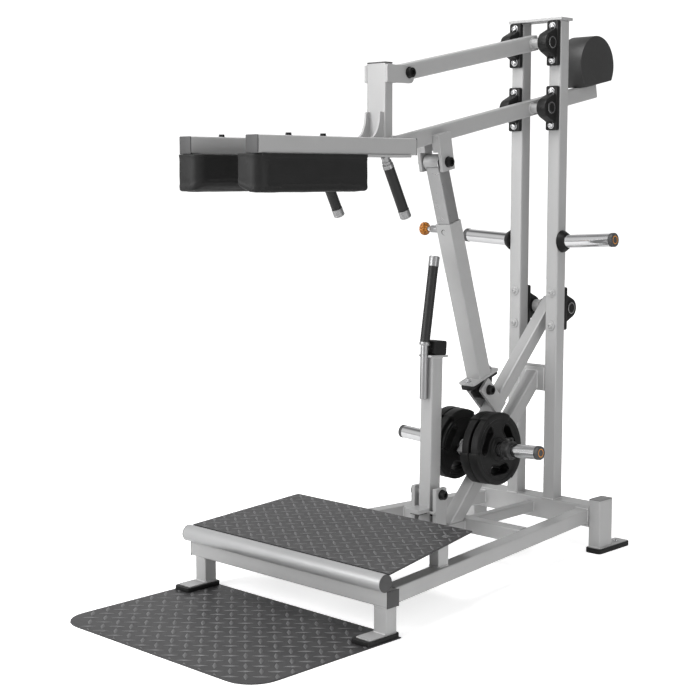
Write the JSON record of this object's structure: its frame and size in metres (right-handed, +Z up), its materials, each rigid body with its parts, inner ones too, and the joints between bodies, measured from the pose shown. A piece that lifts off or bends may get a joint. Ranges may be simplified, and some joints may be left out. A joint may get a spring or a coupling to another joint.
{
  "type": "squat machine",
  "caption": "Standing squat machine: shoulder pads on parallel lever arms raise a weight lever through a push link, above a tread-plate foot platform.",
  "frame": {"origin": "floor level, under the middle of the machine's outer box", "axes": "+X to the right of a viewer who looks from the platform toward the uprights, +Y from the platform toward the counterweight, +Z up"},
  "size_m": [0.886, 2.2339, 1.91],
  "materials": {
    "frame_paint": "satin silver-grey powder coat",
    "checker_plate": "dark grey raised-diamond tread plate",
    "rubber": "matt black rubber",
    "leather": "black grained upholstery",
    "cast_housing": "black painted casting",
    "chrome": "bright chrome",
    "orange_plastic": "orange moulded knob",
    "black_steel": "black satin paint"
  },
  "bodies": {
    "frame": {"floor_mat": "checker_plate", "front_cross": "frame_paint", "roller_tube": "frame_paint", "platform": "checker_plate", "side_rail_right": "frame_paint", "side_rail_left": "frame_paint", "mid_cross": "frame_paint", "front_centre_rail": "frame_paint", "rear_centre_rail": "frame_paint", "brace": "frame_paint", "upright_tie": "frame_paint", "upright_right": "frame_paint", "upright_left": "frame_paint", "top_plate": "frame_paint", "rear_cross": "frame_paint", "rear_leg_right": "frame_paint", "rear_leg_left": "frame_paint", "rear_boot_right": "rubber", "rear_boot_left": "rubber", "front_leg_right": "frame_paint", "front_leg_left": "frame_paint", "front_boot_right": "rubber", "front_boot_left": "rubber", "storage_horn_right": "chrome", "storage_horn_left": "chrome", "upper_bearing_right": "cast_housing", "upper_bearing_left": "cast_housing", "lower_bearing_right": "cast_housing", "lower_bearing_left": "cast_housing", "lever_bearing_right": "cast_housing", "lever_bearing_left": "cast_housing", "post_clevis": "frame_paint"},
    "upper_arm": {"upper_arm": "frame_paint"},
    "lower_arm": {"lower_arm": "frame_paint", "counterweight": "black_steel"},
    "pad_frame": {"pad_frame": "frame_paint", "pad_arm_right": "frame_paint", "pad_arm_left": "frame_paint", "pad_right": "leather", "pad_left": "leather", "grip_right": "rubber", "grip_left": "rubber"},
    "push_link": {"link_inner": "frame_paint", "link_outer": "frame_paint", "link_bearing": "cast_housing"},
    "pull_pin": {"pull_pin": "orange_plastic"},
    "weight_lever": {"lever": "frame_paint", "lever_horn_right": "chrome", "lever_horn_left": "chrome"},
    "load_right": {"inner_plate_right": "rubber", "outer_plate_right": "rubber", "clip_right": "black_steel"},
    "load_left": {"inner_plate_left": "rubber", "outer_plate_left": "rubber", "clip_left": "black_steel"},
    "stop_post": {"stop_post": "frame_paint", "post_bumper": "rubber", "post_handle": "chrome"}
  },
  "joints": [
    {"name": "lower_arm_hinge", "type": "hinge", "parent": "frame", "child": "lower_arm", "pos_m": [0, 0.647, 1.592], "axis": [-1, 0, 0], "range_deg": [0, 17]},
    {"name": "upper_arm_hinge", "type": "hinge", "parent": "frame", "child": "upper_arm", "pos_m": [0, 0.647, 1.82], "axis": [-1, 0, 0], "range_deg": [0, 17]},
    {"name": "pad_frame_hinge", "type": "hinge", "parent": "lower_arm", "child": "pad_frame", "pos_m": [0, -0.053, 1.454], "axis": [-1, 0, 0], "range_deg": [-17, 0]},
    {"name": "link_hinge", "type": "hinge", "parent": "lower_arm", "child": "push_link", "pos_m": [0, 0.142, 1.398], "axis": [-1, 0, 0], "range_deg": [-14.88, 0]},
    {"name": "lever_hinge", "type": "hinge", "parent": "frame", "child": "weight_lever", "pos_m": [0, 0.789, 0.869], "axis": [-1, 0, 0], "range_deg": [0, 19.04]},
    {"name": "post_hinge", "type": "hinge", "parent": "frame", "child": "stop_post", "pos_m": [0, 0.115, 0.27], "axis": [1, 0, 0], "range_deg": [0, 20]},
    {"name": "pull_pin_slide", "type": "slide", "parent": "push_link", "child": "pull_pin", "axis": [-1, 0, 0], "range_m": [0, 0.02], "stiffness_N_per_m": 600},
    {"name": "load_right_slide", "type": "slide", "parent": "weight_lever", "child": "load_right", "axis": [0.9985, 0, 0.0539], "range_m": [0, 0.26]},
    {"name": "load_left_slide", "type": "slide", "parent": "weight_lever", "child": "load_left", "axis": [-0.9985, 0, 0.0539], "range_m": [0, 0.29]}
  ],
  "couplings": [
    {"joint": "upper_arm_hinge", "follows": "lower_arm_hinge", "ratio": 1},
    {"joint": "pad_frame_hinge", "follows": "lower_arm_hinge", "ratio": -1},
    {"joint": "link_hinge", "follows": "lower_arm_hinge", "ratio": -0.875},
    {"joint": "lever_hinge", "follows": "lower_arm_hinge", "ratio": 1.12}
  ]
}
